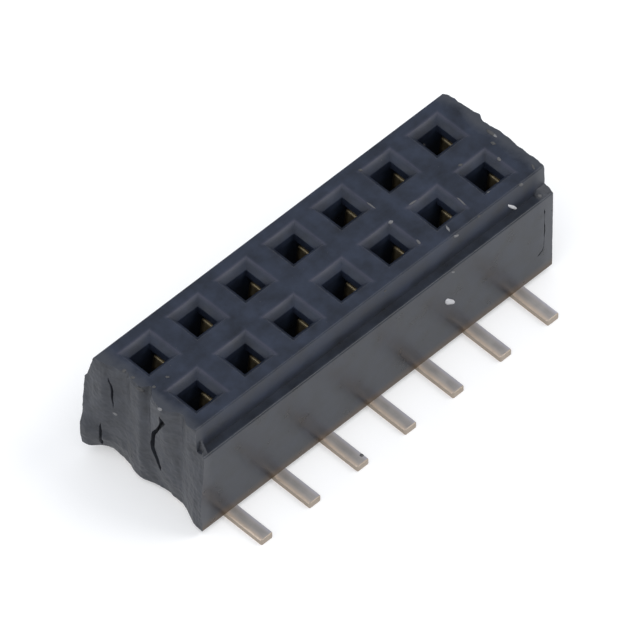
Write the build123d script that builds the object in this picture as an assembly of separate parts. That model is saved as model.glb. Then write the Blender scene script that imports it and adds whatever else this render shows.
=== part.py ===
from build123d import *
import math
import os

# Socket strip for surface mounting: two rows of square sockets in one black moulding, with a stamped and
# folded contact in each. It was snapped from a longer strip, so both of its ends are rough breaks.
# X runs along the strip, Y across it and Z up. The front is -Y. The origin is under the middle of the
# strip, on the plane of the undersides of the solder tails. Sizes are in millimetres.

# Grid of contacts
columns = 7
pitch = 2.00
row_pitch = 2.00

# Moulded housing
lower_height = 3.37
upper_height = 1.03
side_margin = 1.07
ledge_width = 0.32
edge_radius = 0.06
socket_width = 0.84
lead_in_depth = 0.22
throat_depth = 0.30
tail_groove = 0.04
groove_clearance = 0.03

# Stamped and folded contact
strip_thickness = 0.24
bend_radius = 0.10
contact_span = 1.28
contact_clearance = 0.02
pin_width = 0.50
pinch_squeeze = 0.10
mouth_gap = 0.74
arm_width = 0.46
arm_headroom = 0.08
root_height = 1.15
barb_height = 0.22
pinch_drop = 1.10
tail_width = 0.48
tail_offset = 0.07
tail_reach = 1.49
snapped_reach = 0.85
tip_radius = 0.06

# Rough breaks at both ends, measured outwards from the last contact
near_reach = 1.10
far_reach = 1.35
spare_stock = 0.90
crack_width = 0.16
crack_depth = 0.30
near_crush_reach = 0.24
near_crush_height = 0.70
back_crush_reach = 0.10
back_crush_height = 0.90
far_crush_reach = 0.36
far_crush_height = 0.20
crush_lip = 0.09
crush_pit = 0.13
score_depth = 0.08

# Heights and half widths that follow from those
underside = strip_thickness - tail_groove
ledge_level = underside + lower_height
top_level = ledge_level + upper_height
throat_level = top_level - lead_in_depth
cavity_level = throat_level - throat_depth
row_offset = row_pitch / 2
upper_half = row_offset + side_margin
lower_half = upper_half + ledge_width
last_column = (columns - 1) / 2 * pitch
near_break = last_column + near_reach
far_break = last_column + far_reach

# Plan outlines of the two breaks. Stations run from back to front as shares of the half width, and each
# row says how far the break stands proud of its nominal plane there. Heights are shares of the lower body.
near_stations = (
    1.03, 0.92, 0.81, 0.67, 0.58, 0.40, 0.26, 0.12, 0.02,
    -0.10, -0.24, -0.32, -0.44, -0.54, -0.70, -0.84, -1.03,
)
near_rows = {
    0.00: (
        -0.12, -0.33, -0.37, -0.35, -0.33, -0.27, -0.14, -0.15, -0.22,
        -0.33, -0.34, -0.34, -0.33, -0.31, -0.12, 0.02, 0.04,
    ),
    0.08: (
        0.36, 0.30, 0.00, -0.24, -0.27, -0.22, -0.10, -0.10, -0.18,
        -0.28, -0.28, -0.28, -0.30, -0.28, -0.10, 0.03, 0.06,
    ),
    0.21: (
        0.44, 0.38, 0.20, -0.05, -0.12, -0.10, -0.04, -0.02, -0.12,
        -0.20, -0.16, -0.18, -0.22, -0.20, -0.08, 0.04, 0.10,
    ),
    0.34: (
        0.52, 0.48, 0.30, 0.02, -0.06, -0.08, -0.02, 0.04, -0.10,
        -0.14, -0.12, -0.10, -0.16, -0.18, -0.06, 0.06, 0.12,
    ),
    0.53: (
        0.31, 0.34, 0.28, 0.16, 0.02, -0.04, -0.06, 0.02, -0.06,
        -0.12, -0.06, -0.10, -0.12, -0.16, -0.08, 0.03, 0.08,
    ),
    0.74: (
        0.30, 0.28, 0.30, 0.24, 0.06, -0.08, -0.04, 0.05, -0.10,
        0.02, -0.04, 0.02, -0.10, -0.18, -0.08, 0.00, 0.02,
    ),
    1.00: (
        0.22, 0.20, 0.24, 0.26, 0.05, -0.10, 0.02, 0.04, -0.18,
        0.08, 0.10, 0.16, 0.00, -0.18, -0.02, -0.03, -0.06,
    ),
    1.31: (
        0.22, 0.21, 0.18, 0.12, 0.07, -0.12, 0.02, 0.00, -0.29,
        0.09, 0.15, 0.22, 0.06, -0.14, 0.04, 0.01, 0.02,
    ),
}
far_stations = (1.03, 0.85, 0.79, 0.39, 0.30, 0.18, -0.08, -0.46, -0.67, -0.85, -1.03)
far_rows = {
    0.00: (0.12, 0.08, 0.02, -0.16, -0.02, 0.02, 0.08, -0.10, -0.14, 0.12, 0.18),
    0.30: (0.10, 0.02, 0.06, -0.10, -0.04, 0.05, 0.02, -0.12, -0.08, 0.06, 0.15),
    0.55: (0.04, 0.05, -0.04, -0.12, 0.04, 0.05, 0.06, -0.06, -0.10, 0.08, 0.15),
    0.80: (-0.04, 0.00, -0.06, -0.04, 0.06, -0.04, 0.08, -0.04, -0.02, 0.04, 0.15),
    1.00: (-0.10, -0.08, -0.02, -0.05, 0.05, -0.08, 0.02, -0.05, 0.00, 0.06, 0.14),
    1.31: (-0.18, -0.15, -0.06, 0.01, 0.07, -0.07, 0.04, 0.00, 0.02, 0.00, -0.02),
}

# Cracks in the near break. Each point is a share of the half width, of the lower body's height and of the
# crack width.
near_cracks = (
    (
        (-0.23, 1.05, 0.00),
        (-0.23, 0.99, 0.70),
        (-0.28, 0.91, 1.60),
        (-0.26, 0.85, 1.00),
        (-0.15, 0.75, 0.60),
        (-0.10, 0.69, 0.90),
        (-0.07, 0.57, 1.00),
        (-0.09, 0.47, 1.10),
        (-0.13, 0.38, 1.20),
        (-0.17, 0.29, 0.00),
    ),
    (
        (0.57, 1.12, 0.00),
        (0.59, 1.06, 0.60),
        (0.56, 1.01, 0.70),
        (0.57, 0.92, 0.70),
        (0.55, 0.83, 0.50),
        (0.54, 0.78, 0.00),
    ),
    (
        (0.75, 0.42, 0.00),
        (0.74, 0.34, 0.70),
        (0.74, 0.22, 0.80),
        (0.73, 0.12, 0.00),
    ),
)

# A score in the front wall beside the far break. Each point is a distance in from that break, a share of the
# lower body's height and a share of the crack width.
far_score = (
    (0.20, 0.86, 0.00),
    (0.20, 0.78, 0.40),
    (0.19, 0.55, 0.40),
    (0.21, 0.36, 0.45),
    (0.26, 0.31, 0.60),
    (0.42, 0.28, 0.50),
    (0.48, 0.27, 0.00),
)


def body_profile():
    """Section across the strip: a wide lower body, a ledge along each side and a narrower upper body."""
    outline = Polyline(
        (-lower_half, underside),
        (lower_half, underside),
        (lower_half, ledge_level),
        (upper_half, ledge_level),
        (upper_half, top_level),
        (-upper_half, top_level),
        (-upper_half, ledge_level),
        (-lower_half, ledge_level),
        close=True,
    )
    face = make_face(outline)
    return fillet(face.vertices(), edge_radius)


def crushed_corner(side, nominal, reach, height):
    """Material pressed down over one end of the front ledge."""
    ramp = Polyline(
        (-upper_half + edge_radius, ledge_level - edge_radius),
        (-upper_half + edge_radius, ledge_level + height),
        (-upper_half, ledge_level + height),
        (-lower_half + edge_radius, ledge_level),
        (-lower_half + edge_radius, ledge_level - edge_radius),
        close=True,
    )
    inner = side * (nominal - reach)
    return extrude(Plane.YZ.offset(inner) * make_face(ramp), amount=side * (reach + spare_stock))


def crushed_ends():
    """The crushed ends of the ledges: two in front, of which the near one has a pit, and one behind."""
    near = crushed_corner(-1, near_break, near_crush_reach, near_crush_height)
    far = crushed_corner(1, far_break, far_crush_reach, far_crush_height)
    pit = Box(
        crush_pit,
        ledge_width * 0.6,
        near_crush_height,
        align=(Align.MAX, Align.MAX, Align.MIN),
    )
    near -= Pos(near_crush_reach - near_break - crush_lip, -upper_half, ledge_level) * pit
    back = crushed_corner(-1, near_break, back_crush_reach, back_crush_height)
    return near, far, mirror(back, about=Plane.XZ)


def socket_cutter():
    """One socket: square lead-in, throat, wider room for the spring arms and a groove for the tail."""
    mouth = socket_width + 2 * lead_in_depth
    lead_in = loft(
        [
            Plane.XY.offset(throat_level) * Rectangle(socket_width, socket_width),
            Plane.XY.offset(top_level) * Rectangle(mouth, mouth),
        ],
        ruled=True,
    )
    throat = Box(
        socket_width,
        socket_width,
        throat_level - underside,
        align=(Align.CENTER, Align.CENTER, Align.MIN),
    )
    room = Box(
        contact_span,
        socket_width,
        cavity_level - underside,
        align=(Align.CENTER, Align.CENTER, Align.MIN),
    )
    groove = Box(
        tail_width + 2 * groove_clearance,
        lower_half - row_offset,
        tail_groove,
        align=(Align.CENTER, Align.MAX, Align.MIN),
    )
    lower = Pos(0, 0, underside) * (throat + room + Pos(tail_offset, 0, 0) * groove)
    return lead_in + lower


def break_cutter(side, nominal, stations, rows):
    """All that lies beyond a rough break, lofted through plan outlines from the underside to the top."""
    beyond = side * (nominal + spare_stock)
    across = [share * lower_half for share in stations]
    levels = [(underside + share * lower_height, proud) for share, proud in sorted(rows.items())]
    levels[0] = (underside - edge_radius, levels[0][1])
    levels[-1] = (top_level + edge_radius, levels[-1][1])
    sections = []
    for level, proud in levels:
        outline = [(side * (nominal + out), y) for out, y in zip(proud, across)]
        outline += [(beyond, across[-1]), (beyond, across[0])]
        sections.append(Plane.XY.offset(level) * make_face(Polyline(*outline, close=True)))
    return loft(sections, ruled=True)


def gap_face(points, widths):
    """Outline of a gap of changing width that follows a path and closes to a point at both ends."""
    left = []
    right = []
    for before, here, after, width in zip(points[:-2], points[1:-1], points[2:], widths[1:-1]):
        along = (after - before).normalized()
        beside = Vector(-along.Y, along.X) * (width / 2)
        left.append(here + beside)
        right.append(here - beside)
    return make_face(Polyline(points[0], *left, points[-1], *reversed(right), close=True))


def crack_cutter(path):
    """A crack that runs up the near break."""
    points = [Vector(share * lower_half, underside + up * lower_height) for share, up, wide in path]
    widths = [wide * crack_width for share, up, wide in path]
    start = near_break + spare_stock
    end = near_break - crack_depth
    return extrude(Plane.YZ.offset(-start) * gap_face(points, widths), amount=start - end)


def score_cutter():
    """The score in the front wall beside the far break."""
    points = [Vector(far_break - inset, underside + up * lower_height) for inset, up, wide in far_score]
    widths = [wide * crack_width for inset, up, wide in far_score]
    floor = Plane.XZ.offset(lower_half - score_depth)
    return extrude(floor * gap_face(points, widths), amount=2 * score_depth)


def housing():
    """The black moulding, with its sockets, between its two broken ends."""
    start = near_break + spare_stock / 2
    end = far_break + spare_stock / 2
    body = extrude(Plane.YZ.offset(-start) * body_profile(), amount=start + end)
    for corner in crushed_ends():
        body += corner
    front = socket_cutter()
    back = Rot(0, 0, 180) * front
    for x in column_places():
        body -= [Pos(x, -row_offset, 0) * front, Pos(x, row_offset, 0) * back]
    body -= break_cutter(-1, near_break, near_stations, near_rows)
    body -= break_cutter(1, far_break, far_stations, far_rows)
    for path in near_cracks:
        body -= crack_cutter(path)
    return body - score_cutter()


def column_places():
    """Places of the contacts along X, from the near end to the far end."""
    return [number * pitch - last_column for number in range(columns)]


def folded_strip():
    """The strip seen from its side: a flat base, and two arms that lean in to pinch a pin and flare out."""
    half = contact_span / 2
    inner = half - strip_thickness
    pinch = (pin_width - pinch_squeeze) / 2
    mouth = mouth_gap / 2
    arm_top = cavity_level - arm_headroom
    pinch_level = arm_top - pinch_drop
    right = [
        (half, 0),
        (half, root_height),
        (pinch + strip_thickness, pinch_level),
        (mouth + strip_thickness, arm_top),
        (mouth, arm_top),
        (pinch, pinch_level),
        (inner, root_height),
        (inner, strip_thickness),
    ]
    left = [(-x, z) for x, z in reversed(right)]
    face = make_face(Polyline(*right, *left, close=True))
    corners = face.vertices().group_by(Axis.Y)
    face = fillet(corners[0], bend_radius + strip_thickness)
    inside = face.vertices().filter_by(lambda v: abs(v.Y - strip_thickness) < 1e-6)
    inside = inside.filter_by(lambda v: abs(abs(v.X) - inner) < 1e-6)
    face = fillet(inside, bend_radius)
    return extrude(Plane.XZ * face, amount=socket_width / 2, both=True)


def strip_blank():
    """The strip seen from its end: wide at the root, a barb that bites the wall, then a narrow spring."""
    root = socket_width / 2 - contact_clearance
    barb = socket_width / 2
    arm = arm_width / 2
    arm_top = cavity_level - arm_headroom
    right = [
        (root, 0),
        (root, root_height - barb_height),
        (barb, root_height),
        (root, root_height),
        (arm, root_height + barb_height),
        (arm, arm_top),
    ]
    left = [(-y, z) for y, z in reversed(right)]
    face = make_face(Polyline(*right, *left, close=True))
    return extrude(Plane.YZ * face, amount=contact_span / 2, both=True)


def solder_tail(reach):
    """The flat tail, from the middle of the base out past the front wall."""
    length = lower_half - row_offset + reach
    blank = Rectangle(tail_width, length, align=(Align.CENTER, Align.MAX))
    blank = fillet(blank.vertices().group_by(Axis.Y)[0], tip_radius)
    return Pos(tail_offset, 0, 0) * extrude(blank, amount=strip_thickness)


def contact(reach=tail_reach):
    """One contact of the front row, about the middle of its socket."""
    return (folded_strip() & strip_blank()) + solder_tail(reach)


def save(shape, name):
    """Write one piece, named as a person would call it."""
    solid = shape.solid()
    solid.label = name
    export_step(solid, os.path.join("parts", name + ".step"))


def main():
    os.makedirs("parts", exist_ok=True)
    save(housing(), "housing")
    front = contact()
    back = Rot(0, 0, 180) * front
    snapped = Rot(0, 0, 180) * contact(snapped_reach)
    for number, x in enumerate(column_places(), start=1):
        save(Pos(x, -row_offset, 0) * front, f"contact_front_{number}")
        save(Pos(x, row_offset, 0) * (snapped if number == 1 else back), f"contact_back_{number}")


main()
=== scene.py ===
import math

import bmesh
import bpy
from bpy.props import FloatProperty, FloatVectorProperty, IntProperty, PointerProperty
from mathutils import Matrix, Vector, noise
from mathutils.bvhtree import BVHTree


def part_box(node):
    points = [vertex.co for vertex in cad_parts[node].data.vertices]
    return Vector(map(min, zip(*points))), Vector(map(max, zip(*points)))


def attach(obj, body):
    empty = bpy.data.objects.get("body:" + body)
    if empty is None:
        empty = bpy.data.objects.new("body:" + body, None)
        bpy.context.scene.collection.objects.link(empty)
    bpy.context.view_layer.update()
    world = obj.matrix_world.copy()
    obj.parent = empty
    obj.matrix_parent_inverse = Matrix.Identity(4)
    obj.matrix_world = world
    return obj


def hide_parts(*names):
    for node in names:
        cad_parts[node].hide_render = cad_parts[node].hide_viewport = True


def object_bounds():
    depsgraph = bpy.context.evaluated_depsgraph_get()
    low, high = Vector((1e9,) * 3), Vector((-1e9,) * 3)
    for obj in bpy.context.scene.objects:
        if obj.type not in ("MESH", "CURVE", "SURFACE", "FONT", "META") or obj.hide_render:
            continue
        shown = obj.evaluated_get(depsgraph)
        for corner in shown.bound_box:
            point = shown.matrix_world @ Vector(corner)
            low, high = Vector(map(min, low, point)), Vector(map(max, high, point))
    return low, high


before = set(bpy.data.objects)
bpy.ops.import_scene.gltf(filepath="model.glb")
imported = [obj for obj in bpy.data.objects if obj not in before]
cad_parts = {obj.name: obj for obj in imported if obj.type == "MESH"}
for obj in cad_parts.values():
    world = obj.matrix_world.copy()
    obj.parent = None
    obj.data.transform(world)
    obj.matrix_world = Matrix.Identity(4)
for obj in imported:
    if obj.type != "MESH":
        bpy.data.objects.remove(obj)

bl_info = {
    "name": "Broken socket strip",
    "version": (1, 0, 0),
    "blender": (4, 5, 0),
    "location": "3D View > Sidebar > Socket strip",
    "description": "Dresses a two-row surface-mount socket strip that was snapped from a longer one",
    "category": "Object",
}

MM = 0.001
CAD_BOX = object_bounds()
HOUSING_LOW, HOUSING_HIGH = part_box("housing")
FIRST_LOW, FIRST_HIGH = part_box("contact_front_1")
SECOND_LOW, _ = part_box("contact_front_2")
CONTACTS = sorted(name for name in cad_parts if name.startswith("contact_"))

# The edges of a contact that are rounded turn by more than this. Points nearer to each other than
# the tail step are merged first, because a bevel runs out into a spike from a shorter edge.
SHARP_TURN = math.radians(40)
TAIL_STEP = 0.005 * MM

# Faces of a contact that turn by less than this are one, and so are those of the moulding for its shading
FLAT_TURN = math.radians(1)
SMOOTH_TURN = math.radians(38)


def size_property(name, description, default):
    """A length that a user can change."""
    return FloatProperty(
        name=name, description=description, default=default, subtype="DISTANCE", precision=6
    )


def angle_property(name, description, default):
    """An angle that a user can change."""
    return FloatProperty(name=name, description=description, default=default, subtype="ANGLE")


def colour_property(name, description, default):
    """A colour that a user can change."""
    return FloatVectorProperty(name=name, description=description, default=default, subtype="COLOR", size=3)


class HousingSettings(bpy.types.PropertyGroup):
    """Sizes and colours of the black moulding."""

    pitch: size_property(
        "Pitch",
        "Distance between neighbouring sockets, taken from two neighbouring contacts",
        SECOND_LOW.x - FIRST_LOW.x,
    )
    row_pitch: size_property("Row pitch", "Distance between the two rows of sockets", 2.0 * MM)
    columns: IntProperty(name="Columns", description="Sockets in a row", default=len(CONTACTS) // 2)
    upper_height: size_property(
        "Upper height", "Height of the narrower upper body above the ledge", 1.03 * MM
    )
    ledge_width: size_property("Ledge width", "Width of the ledge along each long side", 0.32 * MM)
    corner_radius: size_property("Corner radius", "Radius of the long edges as moulded", 0.06 * MM)
    socket_width: size_property("Socket width", "Width of the square throat", 0.84 * MM)
    lead_in_depth: size_property("Lead-in depth", "Depth of the square 45 degree funnel", 0.22 * MM)
    throat_depth: size_property(
        "Throat depth", "Depth of the throat between the funnel and the room for the arms", 0.30 * MM
    )
    room_length: size_property(
        "Room length", "Length along the strip of the room for the spring arms", FIRST_HIGH.x - FIRST_LOW.x
    )
    groove_depth: size_property("Groove depth", "Depth of the groove over each solder tail", 0.04 * MM)
    groove_width: size_property("Groove width", "Width of the groove over each solder tail", 0.54 * MM)
    groove_offset: size_property(
        "Groove offset", "How far each tail runs beside the middle of its socket", 0.07 * MM
    )
    lip_radius: size_property("Lip radius", "Rounding where the funnel meets the top face", 0.05 * MM)
    near_crush: size_property(
        "Near crush",
        "Place along the strip where the crushed near end of the front ledge begins",
        -6.86 * MM,
    )
    near_crush_height: size_property(
        "Near crush height",
        "Height of the crushed material above the ledge at the near end, at the upper wall",
        0.45 * MM,
    )
    far_crush: size_property(
        "Far crush", "Place along the strip where the crushed far end of the front ledge begins", 6.99 * MM
    )
    far_crush_height: size_property(
        "Far crush height",
        "Height of the crushed material above the ledge at the far end, at the upper wall",
        0.20 * MM,
    )
    back_crush: size_property(
        "Back crush", "Place along the strip where the crushed near end of the back ledge begins", -7.00 * MM
    )
    back_crush_height: size_property(
        "Back crush height",
        "Height of the crushed material above the back ledge, at the upper wall",
        0.90 * MM,
    )
    crush_lip: size_property(
        "Crushed lip", "Thickness of the thin lip left where the crushed corner begins", 0.09 * MM
    )
    crush_pit: size_property("Crushed pit", "Length of the pit behind the lip", 0.13 * MM)
    grit: size_property("Grit cell", "Size of the facets of the broken ends", 0.032 * MM)
    tear: size_property("Tear depth", "Depth of the torn relief of the broken ends", 0.06 * MM)
    crumble: size_property(
        "Crumbled edge", "Width of the crumbled edge where a break meets the top face", 0.11 * MM
    )
    near_break: size_property(
        "Near break", "Place along the strip of the near break's nominal plane", -7.10 * MM
    )
    crack_depth: size_property("Crack depth", "Depth of the cracks in the near break", 0.35 * MM)
    worn_reach: size_property("Worn reach", "How far the scuffed skin reaches from a break", 0.42 * MM)
    far_break: size_property(
        "Far break", "Place along the strip of the far break's nominal plane", 7.35 * MM
    )
    far_stand: size_property(
        "Far stand",
        "How far the torn relief of the far break stands out from the solid's own break",
        0.08 * MM,
    )
    chipped_heel: size_property(
        "Chipped heel", "Reach of the chip at the lower back corner of the near break", 0.35 * MM
    )
    # Painted bounce light: a warm tint at the foot of the long walls stands for light thrown back by the
    # golden tails. This is its height, and its colour is set further down.
    foot_bounce_height: size_property(
        "Warm foot", "Height of the warm film at the foot of the long walls", 0.62 * MM
    )
    score_width: size_property("Score width", "Width of the score beside the far break", 0.07 * MM)
    plastic: colour_property("Plastic", "Colour of the moulded skin", (0.0135, 0.0185, 0.0325))
    # The lower body's greyer colour is a painted tint on the same plastic: it stands for the neutral floor
    # light that the lower side walls reflect.
    painted_tint: colour_property("Film", "Colour of the greyer skin of the lower body", (0.0160, 0.0195, 0.0280))
    # The next two settings give the paler band along the funnel lips that face the light. It is a painted
    # highlight.
    lip_highlight_width: size_property(
        "Worn lip", "Width of the paler band along the two lips of a funnel that face the light", 0.10 * MM
    )
    lip: colour_property("Lip", "Colour of the worn lips of the funnels", (0.038, 0.041, 0.062))
    # Colour of the painted warm bounce light at the foot of the long walls.
    foot_bounce_tint: colour_property(
        "Foot film", "Colour of the warm film at the foot of the long walls", (0.075, 0.048, 0.026)
    )
    torn: colour_property("Torn plastic", "Colour of the broken ends", (0.031, 0.034, 0.042))


class ContactSettings(bpy.types.PropertyGroup):
    """Finish of the stamped contacts."""

    edge_radius: size_property("Edge radius", "Rounding of the stamped edges", 0.04 * MM)
    plating_line: size_property(
        "Plating line", "Height at which the tin of the tail gives way to the gold of the arms", 0.9 * MM
    )
    # Below this height the gold of the arms is darkened as painted shade, deeper in the socket.
    shade_line: size_property("Dull line", "Height under which the gold of the arms is dull", 3.50 * MM)
    tin: colour_property("Tin", "Colour of the dull tin", (0.51, 0.48, 0.455))
    # The next two colours are painted highlights along the top edges of the tails: warm on the near side and
    # cool on the far side. They stand for reflected light.
    warm_edge_highlight: colour_property(
        "Warm edge", "Colour of the polished edge of a tail towards the near end", (0.76, 0.64, 0.53)
    )
    cool_edge_highlight: colour_property(
        "Cool edge", "Colour of the polished edge of a tail towards the far end", (0.64, 0.625, 0.665)
    )
    # This colour also covers the rounded top edge of each tip, as painted shade that dims its highlight.
    sheared: colour_property(
        "Sheared side", "Colour of the stamped sides of the tails", (0.40, 0.345, 0.29)
    )
    gold: colour_property("Gold", "Colour of the thin gold", (0.33, 0.27, 0.165))


class DustSettings(bpy.types.PropertyGroup):
    """Specks that lie on the strip."""

    spacing: size_property("Spacing", "Size of the cells of which some hold a fine speck", 0.12 * MM)
    share: FloatProperty(name="Share", description="Share of the cells that hold a speck", default=0.05)
    speck: size_property("Speck size", "Half the width of the widest fine speck", 0.018 * MM)
    colour: colour_property("Dust", "Colour of the dust", (0.045, 0.049, 0.058))


class StageSettings(bpy.types.PropertyGroup):
    """Floor, light and camera."""

    floor_size: size_property("Floor size", "Width of the floor", 0.9)
    floor: colour_property("Floor", "Colour of the floor", (0.70, 0.70, 0.70))
    floor_glow: FloatProperty(
        name="Floor glow", description="How far the floor is lifted to white", default=0.34
    )
    azimuth: angle_property("Azimuth", "Angle of the camera round the strip", math.radians(-44.7))
    elevation: angle_property("Elevation", "Angle of the camera above the floor", math.radians(50.2))
    lens: FloatProperty(name="Lens", description="Focal length in millimetres", default=1000.0)
    view_width: size_property("View width", "Width that the picture shows at the strip", 19.01 * MM)


# Points of the score beside the far break: millimetres in from that break, and shares of the lower
# body's height
SCORE_PATH = (
    (0.20, 0.86), (0.20, 0.78), (0.19, 0.55), (0.21, 0.36), (0.26, 0.31), (0.42, 0.28), (0.48, 0.27),
)

# Cracks in the near break: column and row in the photograph, and width in millimetres. One whose last
# mark has a width runs out past the edge.
CRACKS = {
    "middle crack": (
        (159.0, 416.0, 0.00), (160.2, 420.0, 0.10), (162.0, 423.5, 0.17), (159.5, 427.0, 0.12),
        (157.0, 430.5, 0.10), (153.8, 433.0, 0.14), (152.5, 438.0, 0.17), (152.3, 444.0, 0.19),
        (153.6, 450.0, 0.20), (156.0, 456.0, 0.20), (157.8, 461.0, 0.20), (159.6, 466.0, 0.16),
        (160.6, 471.0, 0.00),
    ),
    "back crack": (
        (107.8, 377.0, 0.00), (108.6, 381.0, 0.04), (111.0, 386.0, 0.06), (112.0, 391.0, 0.07),
        (111.8, 397.0, 0.06), (112.8, 403.0, 0.05), (113.4, 409.0, 0.00),
    ),
    "low crack": (
        (100.6, 422.0, 0.00), (100.2, 426.0, 0.05), (100.2, 431.0, 0.07), (100.4, 436.0, 0.08),
        (100.8, 440.5, 0.10),
    ),
}

# Flecks that lie on the strip: column and row in the photograph, length and width in millimetres, angle
# in the picture in degrees, and tone
FLECKS = {
    "lens on the upper wall": (512.8, 207.3, 0.38, 0.10, -27, "white"),
    "dot on the front wall": (449.4, 301.7, 0.30, 0.20, -12, "white"),
    "dot under the ledge": (453.2, 272.1, 0.09, 0.07, 0, "bright"),
    "smear by the far break": (491.0, 133.0, 0.38, 0.12, -34, "dull"),
    "end of the smear": (494.6, 135.6, 0.16, 0.09, -40, "bright"),
    "grain by the smear": (493.2, 143.3, 0.15, 0.11, -30, "dull"),
    "grain by the last socket": (499.0, 159.2, 0.14, 0.11, -60, "pale"),
    "grain over the sixth column": (456.2, 235.8, 0.15, 0.11, 10, "bright"),
    "grain beside it": (447.8, 228.4, 0.20, 0.07, -55, "bright"),
    "grain at the socket's foot": (488.2, 192.2, 0.12, 0.08, 30, "pale"),
    "stroke by the sixth socket": (461.6, 201.6, 0.34, 0.06, -42, "pale"),
    "grain behind the sixth socket": (460.4, 165.0, 0.14, 0.09, 20, "dull"),
    "stroke on the left lip": (412.6, 202.6, 0.28, 0.06, 32, "pale"),
    "stroke on the right lip": (371.0, 205.4, 0.30, 0.06, -36, "pale"),
    "corner of a funnel": (418.6, 242.0, 0.18, 0.09, -50, "pale"),
    "grain over the fourth column": (360.4, 170.2, 0.12, 0.09, 0, "dull"),
    "grain on the front edge": (478.9, 216.4, 0.10, 0.08, 35, "dull"),
    "grain near the far corner": (521.1, 184.8, 0.13, 0.11, 0, "pale"),
    "stroke near the far corner": (533.2, 167.0, 0.18, 0.07, -65, "dull"),
    "point of a funnel": (390.6, 222.2, 0.17, 0.11, 10, "bright"),
    "grain low on the edge": (385.0, 291.0, 0.10, 0.08, 35, "dull"),
    "grain at the back": (424.0, 145.0, 0.10, 0.08, 0, "dull"),
    "crumb on the far ledge": (539.6, 195.9, 0.14, 0.11, -20, "pale"),
    "back crumb of the near end": (124.0, 370.7, 0.14, 0.11, 40, "dull"),
    "second crumb of the near end": (132.7, 377.7, 0.14, 0.11, 0, "dull"),
    "crumb by the first socket": (167.3, 377.0, 0.12, 0.09, 0, "dull"),
    "bright crumb of the near end": (159.8, 409.2, 0.14, 0.11, -30, "bright"),
    "crumb on the broken face": (115.3, 413.9, 0.18, 0.11, -40, "bright"),
    "bar at the near edge": (140.0, 389.5, 0.30, 0.10, -38, "dull"),
    "crumb under the near edge": (154.0, 387.0, 0.13, 0.10, 0, "dull"),
    "dark spot on a tail": (361.6, 455.2, 0.13, 0.11, 0, "dark"),
}
FLECK_TONES = {"white": 0.52, "bright": 0.17, "pale": 0.10, "dull": 0.055, "dark": 0.09}

# Corners nearer to each other than this are one
SAME_PLACE = 0.0005 * MM

# The photograph's width and height in pixels, and the camera's film in millimetres
PICTURE = 640
SENSOR_WIDTH = 36.0

# Height on the sky's sphere, and colour there
SKY_STEPS = (
    (0.45, (0.94, 0.96, 1.0)),
    (0.66, (0.41, 0.43, 0.47)),
    (0.82, (0.38, 0.41, 0.46)),
    (0.93, (0.76, 0.82, 0.92)),
)

# The place on the strip that the camera looks at
LOOK_AT = Vector((-0.168, -0.269, 2.3)) * MM


def settings():
    """The four groups of sizes and colours."""
    scene = bpy.context.scene
    return scene.strip_housing, scene.strip_contacts, scene.strip_dust, scene.strip_stage


def link_mesh(name, mesh):
    """A new object for a mesh, in the scene."""
    obj = bpy.data.objects.new(name, mesh)
    bpy.context.scene.collection.objects.link(obj)
    return obj


def mesh_from(bm, name):
    """A mesh from a bmesh, which is then freed."""
    mesh = bpy.data.meshes.new(name)
    bm.to_mesh(mesh)
    bm.free()
    return mesh


def bake_modifiers(obj, name):
    """A plain mesh of an object with its modifiers, in place of the object."""
    bpy.context.view_layer.update()
    graph = bpy.context.evaluated_depsgraph_get()
    mesh = bpy.data.meshes.new_from_object(obj.evaluated_get(graph))
    mesh.name = name
    obj.modifiers.clear()
    obj.data = mesh
    return obj


def band(bm, first, second):
    """Faces between two rings of equal length."""
    count = len(first)
    for i in range(count):
        j = (i + 1) % count
        bm.faces.new((first[i], first[j], second[j], second[i]))


def finished(bm, name):
    """A mesh from a closed bmesh, with its faces turned outwards."""
    bmesh.ops.recalc_face_normals(bm, faces=bm.faces)
    return mesh_from(bm, name)


def close_sheet(bm, rows, flatten, name):
    """A closed solid between rows of vertices and their rim, which a function lays flat."""
    for low, high in zip(rows[:-1], rows[1:]):
        for i in range(len(low) - 1):
            bm.faces.new((low[i], low[i + 1], high[i + 1], high[i]))
    rim = rows[0] + [r[-1] for r in rows[1:]] + rows[-1][-2::-1] + [r[0] for r in rows[-2:0:-1]]
    base = [bm.verts.new(flatten(vert.co)) for vert in rim]
    band(bm, rim, base)
    bm.faces.new(base)
    return finished(bm, name)


def round_corners(points, radius, steps):
    """An outline with each of its corners replaced by an arc of the given radius."""
    out = []
    for before, here, after in zip([points[-1], *points[:-1]], points, [*points[1:], points[0]]):
        here = Vector(here)
        towards = (Vector(before) - here).normalized()
        away = (Vector(after) - here).normalized()
        half = towards.angle(away) / 2
        reach = radius / math.tan(half)
        centre = here + (towards + away).normalized() * (radius / math.sin(half))
        first = here + towards * reach - centre
        last = here + away * reach - centre
        start = math.atan2(first.y, first.x)
        sweep = math.remainder(math.atan2(last.y, last.x) - start, 2 * math.pi)
        for step in range(steps + 1):
            turn = start + sweep * step / steps
            out.append(centre + Vector((math.cos(turn), math.sin(turn))) * radius)
    return out


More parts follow.
